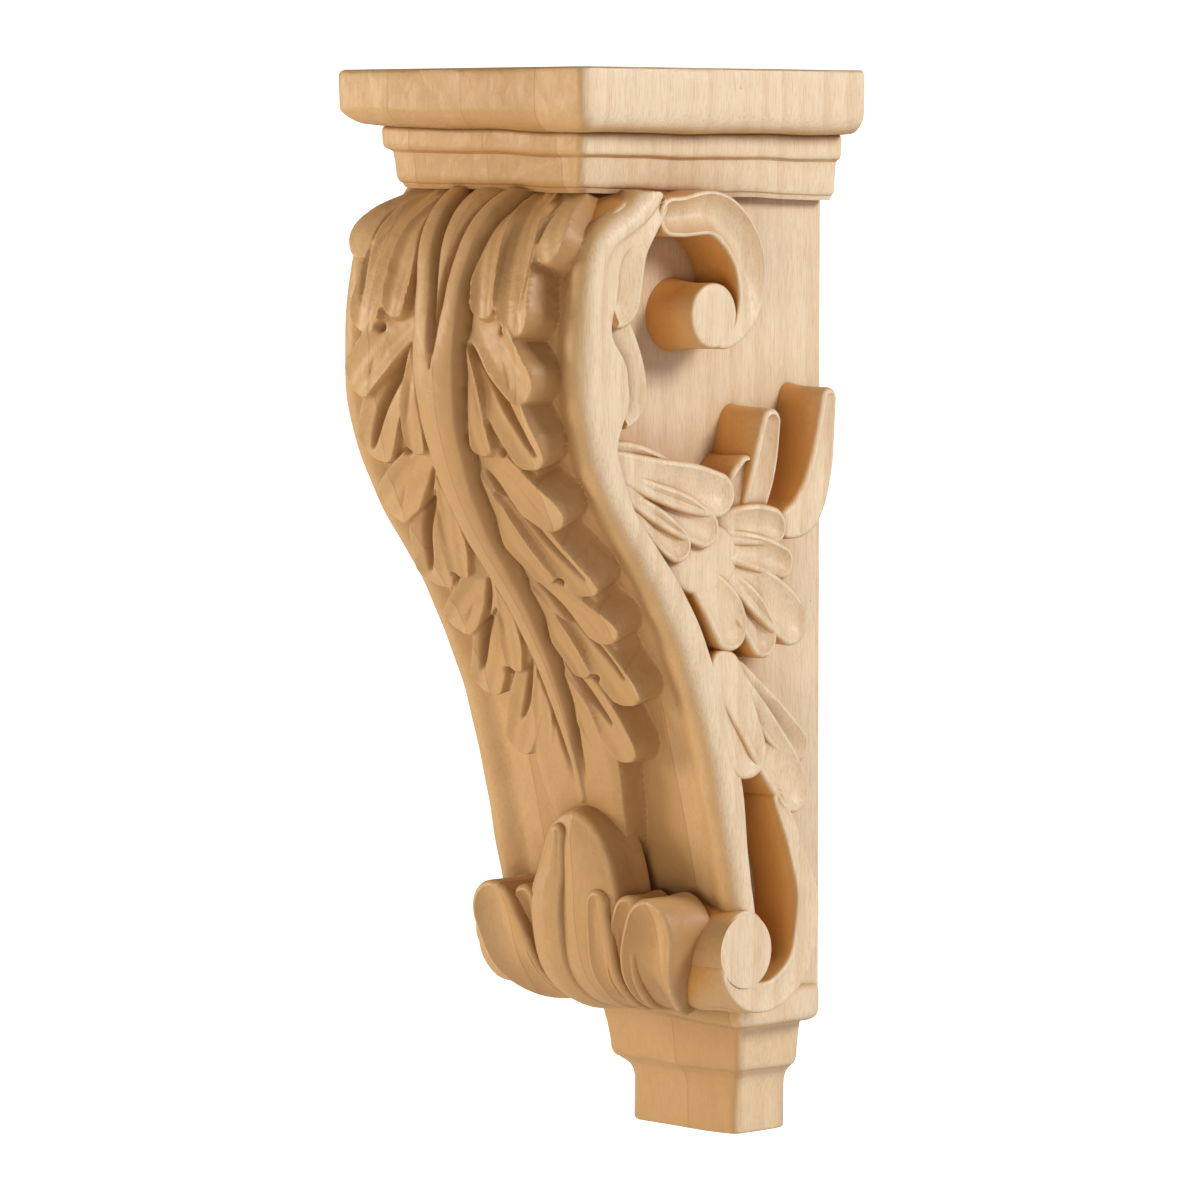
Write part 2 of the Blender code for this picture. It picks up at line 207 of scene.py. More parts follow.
def dome(place, line, widths, levels, trough, ground=0.0, edge=1.9, flare=1.3, stations=34, inner=9,
         start=0.15, lean=0.0):
    """A leaf lobe or scroll band raised over a surface; its trough is one depth, or depths along it.

    Its outline runs up one side of the line and down the other, a half width away that follows the
    widths and is closed by a half ellipse at each end.  In from the outline the height climbs a wall
    that flares at its foot, turns over an edge radius, and sinks into a trough of 1 - share^1.7,
    where share is how far out from the middle it lies.  Lean lowers its right-hand edge.
    """
    t = (1.0 - np.cos(np.linspace(0.0, np.pi, stations))) / 2.0
    centre, ahead, length = along_curve(line, t)
    width = spline(widths, t)
    first, last = widths[0] / length, 1.0 - widths[-1] / length
    close_root = np.sqrt(np.clip(1.0 - ((first - t) / first).clip(0.0, 1.0) ** 2, 0.0, 1.0))
    close_tip = np.sqrt(np.clip(1.0 - ((t - last) / (1.0 - last)).clip(0.0, 1.0) ** 2, 0.0, 1.0))
    width = width * close_root * close_tip
    across = np.stack([-ahead[:, 1], ahead[:, 0]], axis=1)
    spine, _, _ = along_curve(line, np.clip(t, first, last))
    left, right = centre + across * width[:, None], centre - across * width[:, None]
    outline = np.concatenate([left, right[-2:0:-1]])
    middle = np.concatenate([spine, spine[-2:0:-1]])
    reach = np.clip(t, first, last)
    sides = np.concatenate([np.zeros(stations), np.full(stations - 2, lean)])
    depths = spline(np.ravel(trough) * np.ones(max(2, np.size(trough))), reach)
    depths = np.concatenate([depths, depths[-2:0:-1]])
    top, crown = spline(levels, t), spline(levels, reach) - lean / 2
    top, crown, reach = (np.concatenate([part, part[-2:0:-1]]) for part in (top, crown, reach))
    top = top - sides
    radius = np.linalg.norm(middle - outline, axis=1)
    inward = (middle - outline) / np.maximum(radius, 1e-6)[:, None]
    turn = np.minimum(edge, 0.6 * radius)
    fade = smooth_step((reach - start) / 0.4) * (1.0 - 0.4 * smooth_step((reach - 0.78) / 0.22))
    rows = []
    for out, share in ((1.0, -0.35), (0.62, 0.0), (0.3, 0.10), (0.1, 0.3), (0.0, 0.62)):
        level = ground + share * (top - turn - ground)
        if share < 0.0:
            level = np.full_like(top, ground - 3.0)
        rows.append((np.full_like(top, -out * flare), level))
    for angle in np.linspace(0.0, np.pi / 2, 6):
        rows.append((turn * (1.0 - math.cos(angle)), top - turn + turn * math.sin(angle)))
    for depth in np.linspace(0.0, 0.97, inner + 1)[1:]:
        inset = turn + (radius - turn) * depth
        sink = depths * fade * (1.0 - (1.0 - depth) ** 1.7)
        rows.append((inset, top + (crown - top) * depth - sink))
    loops = []
    for inset, level in rows:
        spot = outline + inward * inset[:, None]
        loops.append(place(spot[:, 0], spot[:, 1], level))
    return shell(np.stack(loops), fold=True)


def turned(centre, profile, columns=72):
    """A shape turned about a line across the corbel: circles of each (X, radius) in the profile."""
    angle = np.linspace(0.0, 2 * np.pi, columns, endpoint=False)
    x, radius = np.asarray(profile, float).T[:, :, None]
    y = centre[0] + radius * np.cos(angle)
    z = centre[1] + radius * np.sin(angle)
    return shell(np.stack(np.broadcast_arrays(x, y, z), axis=-1))


def framed(profile, corner, back_round=0.0):
    """A moulding carried round three sides: rectangles with rounded front corners, stacked by height.

    The profile gives (Z, half width, depth).  Each side is divided, so that a wander has points to move.
    """
    z, half_width, depth = (np.asarray(column, float)[:, None] for column in np.transpose(profile))
    turns = np.linspace(0.0, np.pi / 2, 7)
    back = np.linspace(0.0, 1.0, 30)[None, :] ** 0.8
    run = depth - corner
    side_y = WALL_OVERCUT - (run + WALL_OVERCUT) * back
    tuck = back_round * (1.0 - np.sqrt(np.clip(1.0 - ((side_y + 7.0) / 7.0).clip(0.0, 1.0) ** 2, 0.0, 1.0)))
    side_x = half_width - tuck
    arc_x = half_width - corner + corner * np.cos(turns)[None, 1:]
    arc_y = -run - corner * np.sin(turns)[None, 1:]
    front_x = (half_width - corner) * np.linspace(1.0, 0.0, 14)[None, 1:]
    front_y = np.broadcast_to(-depth, front_x.shape)
    right_x = np.concatenate([side_x, arc_x, front_x], axis=1)
    right_y = np.concatenate([np.broadcast_to(side_y, side_x.shape), arc_y, front_y], axis=1)
    x = np.concatenate([right_x, -right_x[:, -2::-1]], axis=1)
    y = np.concatenate([right_y, right_y[:, -2::-1]], axis=1)
    return shell(np.stack([x, y, np.broadcast_to(z, x.shape)], axis=-1))


# ---------------------------------------------------------------- the corbel's own shapes

def quarter(z0, a0, z1, a1, bulge, count=7):
    """Profile points from (z0, a0) to (z1, a1) along a quarter ellipse: bulging out, or hollow."""
    angle = np.linspace(0.0, np.pi / 2, count)
    if bulge:
        return [(z0 + (z1 - z0) * (1 - math.cos(v)), a0 + (a1 - a0) * math.sin(v)) for v in angle]
    return [(z0 + (z1 - z0) * math.sin(v), a0 + (a1 - a0) * (1 - math.cos(v))) for v in angle]


def cap():
    """The slab over two stepped fillets, all with eased edges, cut by eye: they rise to the front and left.

    The lift is a plane over X and Y, one at the slab's underside and another at the lowest fillet,
    blended by height.
    """
    w, d = CAP_HALF_WIDTH, CAP_DEPTH
    outline = [(312.0, -15.4), (313.6, -14.6)] + quarter(313.6, -14.6, 317.0, -13.2, True)
    outline += [(321.0, -12.9), (324.4, -12.5)] + quarter(325.2, -11.6, 327.4, -10.2, True)
    outline += [(330.0, -10.1)] + quarter(331.6, -10.1, 333.2, -10.9, False, 4)
    outline += quarter(333.6, -6.8, 342.6, 0.0, True, 11) + [(347.0, 0.0), (351.0, 0.0), (354.4, 0.0)]
    outline += [(355.4, -0.35), (HEIGHT, -1.3)]
    profile = [(z, w + a, d + a + (0.4 if a < -9 else 0.0)) for z, a in outline]
    points, faces = framed(profile, 3.6)
    points = points.copy()
    x, y, z = points.T
    leftward, forward = (1.0 - x / w) / 2.0, np.clip(-y / d, 0.0, 1.0)
    low = smooth_step((334.0 - z) / 22.0)
    slab_lift = (1.2 + 0.4 * forward + 3.0 * leftward) * smooth_step((347.0 - z) / 13.0)
    points[:, 2] += (1.0 - low) * slab_lift + low * (0.8 + 3.3 * forward + 2.2 * leftward)
    return points, faces


def foot():
    """A block that flares in two coves to a thin fascia, whose lower edge dips towards the right."""
    outline = [(0.0, -0.9), (0.5, -0.3), (1.3, 0.0), (8.0, 0.0), (15.0, 0.0)]
    outline += [(17.5, 0.4), (19.4, 1.2), (20.8, 2.5), (21.6, 3.5)]
    outline += quarter(22.0, 3.8, 27.5, 6.0, True, 6) + [(31.0, 6.5), (34.6, 7.0)]
    outline += quarter(35.4, 7.3, 43.0, 13.2, False, 9) + [(43.8, 14.6), (44.8, 15.6), (46.0, 16.0)]
    outline += [(48.2, 16.1), (49.4, 15.8), (50.6, 14.8), (51.4, 13.0)]
    profile = [(z, 24.7 + out, 25.3 + out) for z, out in outline]
    points, faces = framed(profile, 2.6, back_round=3.2)
    dip = 2.3 * (1.0 + points[:, 0] / 41.0) * np.exp(-((points[:, 2] - 43.5) / 4.5) ** 2)
    points = points.copy()
    points[:, 2] -= dip
    return points, faces


def core():
    """The body between the sunk panels: the scroll's line set back inside the front plate."""
    along = np.linspace(-8.0, SCROLL_LENGTH, 60)
    behind = on_scroll(0.0, along, -6.0)
    z = np.concatenate([[46.5, 52.0, 66.0], behind[:, 2]])
    front = np.concatenate([[-40.0, -54.0, -52.0], behind[:, 1]])
    order = np.argsort(z)
    z, front = z[order], front[order]
    share = np.concatenate([np.linspace(0.0, 1.0, 26), np.ones(9), np.linspace(1.0, 0.0, 26)])
    x = PANEL_HALF_WIDTH * np.concatenate([np.ones(26), np.linspace(1.0, -1.0, 11)[1:-1], -np.ones(26)])
    y = WALL_OVERCUT + (front[:, None] - WALL_OVERCUT) * share[None, :]
    x = np.broadcast_to(x, y.shape)
    return shell(np.stack([x, y, np.broadcast_to(z[:, None], y.shape)], axis=-1))


def near_line(x, s, points, widths, levels):
    """Where each place lies against a line with widths.

    It gives how far inside the width the place is, how far aside of the line as a share of the width,
    the line's level there, and how far along the line it is.
    """
    at = np.linspace(0.0, 1.0, 48)
    spots, ahead, _ = along_curve(points, at)
    away = np.hypot(x[..., None] - spots[:, 0], s[..., None] - spots[:, 1])
    nearest = away.argmin(axis=-1)
    away = away.min(axis=-1)
    width = spline(widths, at)[nearest]
    aside = np.abs((x - spots[nearest, 0]) * ahead[nearest, 1] - (s - spots[nearest, 1]) * ahead[nearest, 0])
    return width - away, np.clip(aside / width, 0.0, 1.0), spline(levels, at)[nearest], at[nearest]


def cut_line(height, x, s, points, half_width, depth):
    """A V-cut: it fades in and out along its line, and takes its depth off the height."""
    at = np.linspace(0.0, 1.0, 64)
    spots, _, _ = along_curve(points, at)
    away = np.hypot(x[..., None] - spots[:, 0], s[..., None] - spots[:, 1])
    along = at[away.argmin(axis=-1)]
    width = half_width * (0.25 + 0.75 * np.sin(np.pi * along) ** 0.6)
    share = np.clip(1.0 - away.min(axis=-1) / width, 0.0, 1.0)
    return height - depth * (0.3 + 0.7 * np.sin(np.pi * along) ** 0.5) * share


# The hanging leaf in tiers, top first: each blade's line, half widths, levels and trough depth,
# over distance from the middle and distance up the scroll
BLADES = (
    (((19, 268), (32, 249), (42.0, 229.5)), (6, 8.2, 9.6, 9.0), (9.5, 9.2, 6.0, 7.4), 0.6),
    (((15, 266), (27, 240), (33.8, 206.5)), (4, 6.5, 8.6, 8.8), (9.0, 8.4, 8.8, 11.6), 2.6),
    (((14, 262), (17.5, 236), (20.4, 209.5)), (2.5, 4.2, 7.4, 7.0), (9.0, 8.6, 10.6, 12.2), 3.0),
    (((8, 209), (24, 198), (36.0, 187)), (8, 9, 9.6, 8.6), (6.5, 8.2, 10.4, 11.4), 2.4),
    (((9, 200), (24, 184), (34, 167)), (5, 8, 10, 9.6), (6.0, 7.6, 9.4, 10.2), 2.6),
    (((8, 200), (12.5, 182), (15.2, 167.5)), (5, 6, 7.0, 6.2), (8.0, 9.4, 10.6, 10.8), 2.2),
    (((7, 166), (23, 154), (34.5, 146)), (8, 9, 9.5, 8.8), (6.5, 8.0, 9.4, 10.2), 2.1),
    (((7, 160), (23, 138), (33, 118.5)), (5, 9, 10, 9.4), (6.0, 7.6, 9.0, 9.8), 2.3),
    (((6, 160), (13, 138), (19.5, 121.5)), (4, 6, 7.6, 6.4), (8.0, 9.2, 10.2, 10.6), 2.0),
    (((5, 122), (20, 108), (32.5, 98)), (8, 9, 9.5, 8.6), (6.4, 7.8, 9.0, 9.8), 2.0),
    (((6, 116), (20, 93), (31, 73.5)), (5, 8, 9.4, 8.8), (6.0, 7.4, 8.8, 9.4), 2.2),
    (((5, 116), (11, 96), (15.5, 80.5)), (3.5, 5, 6.6, 5.6), (7.6, 8.8, 9.6, 9.8), 1.9),
    (((4, 84), (15, 68), (23.5, 51.0)), (6, 8, 8.6, 7.8), (6.0, 7.4, 8.4, 8.6), 1.6),
    (((3, 82), (8.5, 66), (11.5, 53.0)), (3, 4.6, 6.0, 5.0), (7.4, 8.6, 9.0, 8.8), 1.5),
)
GROOVES = (
    (((13, 197), (22, 186.5), (30, 175.5), (37.5, 163.5)), 2.2, 5.4),
    (((12, 158), (20.5, 145), (28, 133), (36, 118)), 2.1, 5.0),
    (((11, 115), (19.5, 100), (27, 88), (33, 76)), 2.0, 4.6),
    (((8, 82), (14.5, 69), (21, 58)), 1.6, 3.6),
    (((37.5, 240), (37.2, 222), (36.8, 207)), 1.0, 1.4),
    (((14, 186), (17.5, 172)), 0.7, 0.8),
    (((14, 150), (19, 130)), 0.7, 0.8),
    (((12, 106), (15, 90)), 0.6, 0.7),
    (((30, 192), (33, 184)), 0.8, 0.7),
    (((27, 152), (33, 143)), 0.8, 0.6),
    (((24, 104), (31, 95)), 0.8, 0.6),
)
EYES = ((27.8, 201.5), (21.8, 163.6), (24.6, 117.5), (20.4, 76.5))
EYE_DEPTH, EYE_SPREAD = 4.2, 1.5
# How far from the middle the stem, the fork and the whole leaf reach, and how high leaf and stem are,
# each over distance up the scroll
STEM_EDGE = ((-10, 20, 42, 60, 90, 120, 150, 190, 215, 232, 245, 262),
             (1.2, 1.6, 2.6, 4.2, 5.6, 6.4, 8.2, 10.4, 12.2, 15.5, 18.5, 22.0))
FORK_EDGE = ((185, 190, 215, 232, 245, 262), (-1.5, 0.0, 2.4, 5.6, 9.0, 13.5))
LEAF_LEVEL = ((60, 222, 238, 262), (6.0, 5.6, 3.2, 7.5))
STEM_LEVEL = ((30, 60, 120, 190, 232, 250, 262), (7.6, 9.6, 11.4, 12.8, 10.2, 9.4, 9.0))
BLANK_EDGE = ((34, 42, 50, 60, 70, 80, 100, 190, 205, 228, 246, 262),
              (0.0, 9.0, 16.0, 22.0, 28.0, 34.5, 36.0, 36.0, 33.0, 34.0, 36.0, 33.0))


def raised(height, inside, width, level):
    """The height with a shape added: it climbs from the ground to its level over a width, and the
    higher of the two shows."""
    return np.maximum(height, GROUND + np.clip(inside / width, 0.0, 1.0) * (level - GROUND))


def groove(away, half_width, depth):
    """A V-groove's depth at distances from its middle."""
    return depth * np.clip(1.0 - np.abs(away) / half_width, 0.0, 1.0)


def hanging_leaf(x, s):
    """The leaf's height over the front face, the same on both sides of the middle.

    Each blade is as high as its level where its wall ends, and a trough of 1 - share^2.4 sinks it
    along its line.  The highest blade shows, so sharp crests stand where two meet.  The stem is a low
    vault between two grooves, level - 2.2 share^2.6, and forks round a tongue.  Neighbouring heights
    are averaged 1-2-1 at the end.
    """
    x = np.abs(x)
    height = np.full(x.shape, GROUND)
    inside, _, level, _ = near_line(x, s, ((0, 84), (0, 45), (0, 14), (0, -12)),
                                    (13, 20.5, 17, 8), (6.6, 7.6, 6.4, 3.0))
    rounding = 1.2 * smooth_step(1 - inside / 6)
    height = np.maximum(height, GROUND + smooth_step(inside / 1.3) * (level - GROUND - rounding))
    height = raised(height, np.interp(s, *BLANK_EDGE) - x, 1.5, np.interp(s, *LEAF_LEVEL))
    for line, widths, levels, trough in BLADES[::-1]:
        inside, share, level, along = near_line(x, s, line, widths, levels)
        fade = smooth_step(along / 0.5)
        top = level - trough * fade * (1.0 - share ** 2.4) + 0.13 * fade * np.cos(share * 9.5)
        height = raised(height, inside, LEAF_WALL, top)
    for line, half_width, depth in GROOVES:
        height = cut_line(height, x, s, line, half_width, depth)
    for eye_x, eye_s in EYES:
        height -= EYE_DEPTH * np.exp(-((x - eye_x) ** 2 + (s - eye_s) ** 2) / EYE_SPREAD)
    edge, fork, vault = np.interp(s, *STEM_EDGE), np.interp(s, *FORK_EDGE), np.interp(s, *STEM_LEVEL)
    middle = (edge + np.maximum(fork, 0.0)) / 2 * smooth_step((s - FORK_START) / 22.0)
    outward = np.clip((x - middle) / (edge - middle), -1.0, 1.0)
    stem = vault - 2.2 * np.abs(outward) ** 2.6
    tongue = vault - 2.4 + 1.4 * np.cos(np.clip(x / np.maximum(fork, 0.5), 0, 1) * np.pi / 2)
    stem = np.where((s > TONGUE_START) & (x < fork), tongue, stem)
    height = np.where((x < edge) & (s > 30), np.maximum(height, stem), height)
    height -= groove(x - edge, 1.7, 3.6) * smooth_step((s - 34) / 20)
    height -= groove(x - fork, 1.5, 3.4) * smooth_step((s - TONGUE_START) / 14)
    height = np.maximum(height, GROUND)
    for axis in (0, 1):
        count = height.shape[axis]
        padded = np.pad(height, [(1, 1) if k == axis else (0, 0) for k in range(2)], mode="edge")
        before, after = (np.take(padded, range(first, first + count), axis) for first in (0, 2))
        height = 0.5 * height + 0.25 * (before + after)
    return height


def front_plate(low, high, rows):
    """A length of the scroll's front slab, with the leaf on its face and a rim rolled over each edge.

    Its section is the ground with the leaf's height over it, an S-shaped rise to the rim's crest, a
    quarter ellipse over the edge, a straight side and a squared back; it is carried up the scroll.
    """
    along = np.linspace(low, high, rows)
    thick = spline_between(along, PLATE_STATIONS, PLATE_THICKNESS)
    inner_x = np.linspace(0.0, RIM_CREST, 121)
    over = np.linspace(0.0, np.pi / 2, 10)[1:]
    front_x = np.concatenate([inner_x, RIM_CREST + (FACE_HALF_WIDTH - RIM_CREST) * np.sin(over)])
    plain = GROUND * (1.0 - smooth_step((front_x - RIM_INNER + 1.5) / (RIM_CREST - RIM_INNER + 1.5)))
    plain[-len(over):] = -6.5 * (1.0 - np.cos(over))
    x, s = np.meshgrid(front_x, along)
    leaf = hanging_leaf(x, s)
    height = np.where(leaf > GROUND + 0.03, np.maximum(plain, leaf), plain)
    line_z = np.interp(along, SCROLL[0], SCROLL[2])
    rise = np.interp(along, SCROLL[0], SCROLL[4])

    def under_cap(x, level):
        lid = (CAP_UNDERSIDE - CAP_TILT * x - line_z) / np.maximum(rise, 0.2)
        return on_scroll(x, along, np.where(along > CAP_REACH, np.minimum(level, lid), level))

    loops = [under_cap(front_x[k], height[:, k]) for k in range(len(front_x))]
    left = [under_cap(-front_x[k], height[:, k]) for k in range(1, len(front_x))]
    side = []
    behind = np.maximum(thick - 6.9, 0.3)
    hollow = 0.7 + 1.3 * smooth_step((along - 195.0) / 15.0)
    for share in np.linspace(0.0, 1.0, 9)[1:]:
        side.append((FACE_HALF_WIDTH - hollow * smooth_step(behind * share / 3.6), -6.5 - behind * share))
    last_x = side[-1][0]
    side += [(last_x - 0.5, -thick - 0.1), (last_x - 1.6, -thick - 0.4), (30.0, -thick - 0.4)]
    loops += [on_scroll(x, along, h) for x, h in side] + [on_scroll(0.0, along, -thick)]
    loops += [on_scroll(-x, along, h) for x, h in side[::-1]] + left[::-1]
    return shell(np.stack(loops, axis=1))


# The side's leaf lobes, from the rim down: root, bend and tip (Y, Z), half widths, levels off the
# panel, trough depth, and how much the edge beside the rim is lowered
HIGH, MIDDLE = RELIEF, RELIEF - 1.5
SIDE_LOBES = (
    ((-93.0, 315), (-111.0, 299), (-117.0, 273.0), (3.5, 8.7, 10.6, 8.6),
     (HIGH - 0.8, HIGH + 0.2, HIGH + 0.4), 2.0, 3.4),
    ((-122.0, 282), (-115.0, 262), (-111.0, 240.5), (7.0, 10.4, 11.4, 9.4),
     (HIGH - 2.4, HIGH - 0.8, HIGH - 0.5), 2.2, 3.4),
    ((-50.0, 201), (-46.4, 226), (-42.0, 245.5), (5.5, 6.2, 5.6, 4.2), (11.5, HIGH - 1, HIGH), 2.6, 0.0),
    ((-61.0, 204), (-56.5, 219), (-50.5, 230.0), (6.0, 6.8, 5.6, 3.0), (11, 15.5, 16.8), 2.2, 0.0),
    ((-121, 233), (-104, 230.0), (-84, 224.5), (4.0, 6.0, 6.0, 4.4), (13, 15.8, 15.4), 2.0, 0.0),
    ((-118, 230), (-88, 222.5), (-61.0, 216.8), (5.0, 6.8, 8.4, 6.8), (15, HIGH - 0.8, HIGH), 2.6, 0.0),
    ((-118, 225), (-90, 214.5), (-68.5, 205.2), (5.0, 6.4, 7.6, 6.2), (15, HIGH - 1, HIGH - 0.3), 2.6, 0.0),
    ((-111, 219), (-93, 207.0), (-82.0, 199.8), (4.4, 6.0, 6.6, 5.6), (15, HIGH - 1, HIGH - 0.5), 2.4, 0.0),
    ((-98, 209), (-78, 199.0), (-56.0, 196.0), (9.0, 12.0, 12.0, 9.0), (14.0, 15.8, 15.6), 0.0, 0.0),
    ((-70, 206), (-50, 207.5), (-35.0, 205.8), (5.5, 6.6, 7.0, 5.8), (11.0, MIDDLE, MIDDLE), 2.6, 0.0),
    ((-70, 203), (-50, 198.5), (-31.5, 193.0), (5.0, 6.0, 6.4, 5.4), (11, MIDDLE + 0.6, MIDDLE), 2.6, 0.0),
    ((-68, 199), (-45, 183.5), (-26.5, 170.5), (5.0, 7.4, 8.8, 7.2), (11, HIGH, HIGH), 2.8, 0.0),
    ((-66, 196), (-52, 178.0), (-44.0, 164.5), (5.0, 6.6, 7.6, 6.2), (11, HIGH - 0.6, HIGH), 2.8, 0.0),
    ((-76, 198), (-66.5, 181.0), (-58.5, 168.0), (5.0, 7.6, 8.6, 7.0), (11, HIGH - 0.3, HIGH), 2.8, 0.0),
    ((-67, 168), (-59.5, 142.0), (-49.5, 125.5), (5.5, 9.6, 10.4, 8.2), (HIGH - 1, HIGH, HIGH), 1.6, 0.0),
    ((-68, 164), (-44, 134.0), (-27.5, 113.5), (6.0, 7.8, 9.0, 7.4), (HIGH - 1, HIGH, HIGH), 2.8, 0.0),
    ((-62, 162), (-41, 143.0), (-24.5, 130.0), (5.6, 7.0, 7.4, 6.0), (15.5, MIDDLE, MIDDLE - 0.5), 2.4, 0.0),
)


# The small leaf's domes over its hood: line, half widths, levels, trough depth and edge radius, then
# how far along the trough begins, and the rows along and across.  The second set is on both sides.
HOOD_DOMES = (
    (((3, 2), (-2, 38), (0, 68), (2, 92)), (8, 12, 19, 21.5, 17, 9.0), (2.5, 4, 5.0, 5.4, 4.2),
     -2.2, 2.4, -0.2, 56, 14),
    (((-3, 4), (-11, 36), (-10, 62), (-3, 88)), (4.0, 6, 7.0, 2.6), (5.0, 7.4, 9.4, 7.4),
     -0.9, 2.2, -0.2, 44, 9),
    (((4, 3), (10, 34), (12, 66)), (3.0, 5.5, 6.5, 4.6), (4.6, 7.0, 8.0), 1.6, 2.2, -0.2, 34, 9),
)
FLANK_DOMES = (
    (((7, 3), (17, 38), (25.5, 64)), (4, 6.5, 7.0, 5.0), (4, 5.6, 6.4, 6.0), 2.6, 1.9, 0.15, 44, 10),
    (((11, 2), (27, 32), (39.5, 64)), (5, 8.4, 11.4, 9.4), (3, 5.4, 8.2, 9.0), 5.0, 1.9, 0.15, 52, 12),
    (((20, 0), (38, 11), (50, 22)), (4, 6, 7.2, 5.4), (1.6, 2.4, 2.8), 1.8, 1.9, 0.15, 34, 9),
)


def small_leaf():
    """The upturned leaf over the roll: a creased hood, and three scooped lobes on each side."""
    domes = [(1, dome_of) for dome_of in HOOD_DOMES]
    domes += [(side, dome_of) for side in (1, -1) for dome_of in FLANK_DOMES]
    shells = []
    for side, (line, widths, levels, trough, edge, start, stations, inner) in domes:
        line = [(side * x, along) for x, along in line]
        shells.append(dome(on_hood, line, widths, levels, trough, ground=-7.0, flare=1.0, edge=edge,
                           start=start, stations=stations, inner=inner))
    return shells


# Bands on the side, each along a line (Y, Z)
VOLUTE = ((-96.5, 309), (-85, 308.5), (-71, 309.5), (-61, 304), (-54.3, 294), (-54, 282), (-58.5, 272.5),
          (-65, 268.2), (-71.5, 268.8))
LOWER_SCROLL = ((-41, 120), (-31.5, 101), (-25.6, 82), (-29, 63), (-41, 53.4), (-53, 52.6), (-61.5, 58.5),
                (-64.6, 67))
SPUR = ((-38, 205.5), (-25, 211), (-18.2, 226), (-15.4, 252))


def scroll_eye(side, y, z, radius):
    """A scroll's round end: a stub that swells to the panel, with an eased edge and a level face."""
    outer, ease = FACE_HALF_WIDTH, 1.3
    swell = [(28.0, radius + 4.0), (35.0, radius + 3.0), (38.5, radius + 1.2), (42.0, radius + 0.4),
             (47.0, radius), (outer - ease, radius)]
    swell += [(outer - ease * (1 - math.sin(v)), radius - ease * (1 - math.cos(v))) for v in (0.5, 1.0, 1.57)]
    swell += [(outer + 0.15, radius * 0.6), (outer + 0.2, radius * 0.25)]
    return turned((y, z), [(side * x, around) for x, around in swell])


def side_carving(side):
    """One side's volute, scroll eyes, leaf fans, spur and lower scroll."""
    place = on_side(side)
    shells = [scroll_eye(side, *eye) for eye in (LOWER_EYE, UPPER_EYE)]
    shells.append(dome(place, VOLUTE, (6.2, 6.6, 7.2, 7.6, 7.8, 7.2, 5.4, 3.2, 2.2),
                       (RELIEF - 0.6, RELIEF, RELIEF), (4.2, 4.4, 4.4, 3.6, 0.4, 0.0),
                       flare=0.6, stations=90, inner=10, start=-0.3, edge=1.3))
    shells.append(dome(place, LOWER_SCROLL, (2.6, 3.4, 4.4, 5.6, 5.4, 5.2, 5.0, 3.6), (RELIEF, RELIEF), 0.7,
                       flare=0.8, stations=90, inner=6, start=-0.3, edge=1.3))
    shells.append(dome(place, SPUR, (4.0, 7.0, 6.0, 4.6, 3.4), (RELIEF - 3, RELIEF - 1, RELIEF), 1.2,
                       stations=44))
    for root, bend, tip, widths, levels, trough, lean in SIDE_LOBES:
        shells.append(dome(place, (root, bend, tip), widths, levels, trough, lean=lean))
    return shells


def roll():
    """The roll across the bottom, slightly fuller in the middle."""
    x = np.linspace(-1.0, 1.0, 25)
    profile = [(FACE_HALF_WIDTH * v, ROLL[2] - 0.5 + 0.5 * (1 - v * v)) for v in x]
    return turned(ROLL[:2], profile)


# ---------------------------------------------------------------- meshes

def hand_wander(points):
    """A carver's small unevenness: low sine waves in each direction, none at the wall or on top."""
    x, y, z = points.T
    calm = smooth_step(-y / 6.0) * smooth_step((HEIGHT - z) / 4.0)
    push = np.stack([
        0.22 * np.sin(z / 9.0 + y / 13.0) + 0.12 * np.sin(z / 4.1 - y / 5.3 + 1.0),
        0.20 * np.sin(z / 11.0 + x / 8.0 + 2.0) + 0.12 * np.sin(x / 4.7 + z / 5.9),
        0.22 * np.sin(y / 10.0 + x / 9.0 + 0.6) + 0.10 * np.sin(y / 4.3 - x / 5.1),
    ], axis=1)
    return points + push * calm[:, None]


def mesh_object(name, points, faces):
    """A linked object with its points, given in millimetres from the foot, made metres in the frame."""
    mesh = bpy.data.meshes.new(name)
    placed = np.array(points, float)
    placed[:, 2] += FOOT_LEVEL
    mesh.from_pydata((placed * MM).tolist(), [], faces)
    made = bpy.data.objects.new(name, mesh)
    bpy.context.scene.collection.objects.link(made)
    return made


def outward(made):
    """Turns a closed shell's faces outwards: its signed volume is made positive."""
    mesh = made.data
    mesh.calc_loop_triangles()
    corners = np.empty(len(mesh.loop_triangles) * 3, np.int32)
    mesh.loop_triangles.foreach_get("vertices", corners)
    points = np.empty(len(mesh.vertices) * 3)
    mesh.vertices.foreach_get("co", points)
    a, b, c = points.reshape(-1, 3)[corners.reshape(-1, 3)].transpose(1, 0, 2)
    if np.einsum("ij,ij->i", a, np.cross(b, c)).sum() < 0:
        mesh.flip_normals()
    return made


def applied(made):
    """The object's mesh with its modifiers applied, which are then removed."""
    graph = bpy.context.evaluated_depsgraph_get()
    finished = bpy.data.meshes.new_from_object(made.evaluated_get(graph))
    made.modifiers.clear()
    made.data = finished
    return made


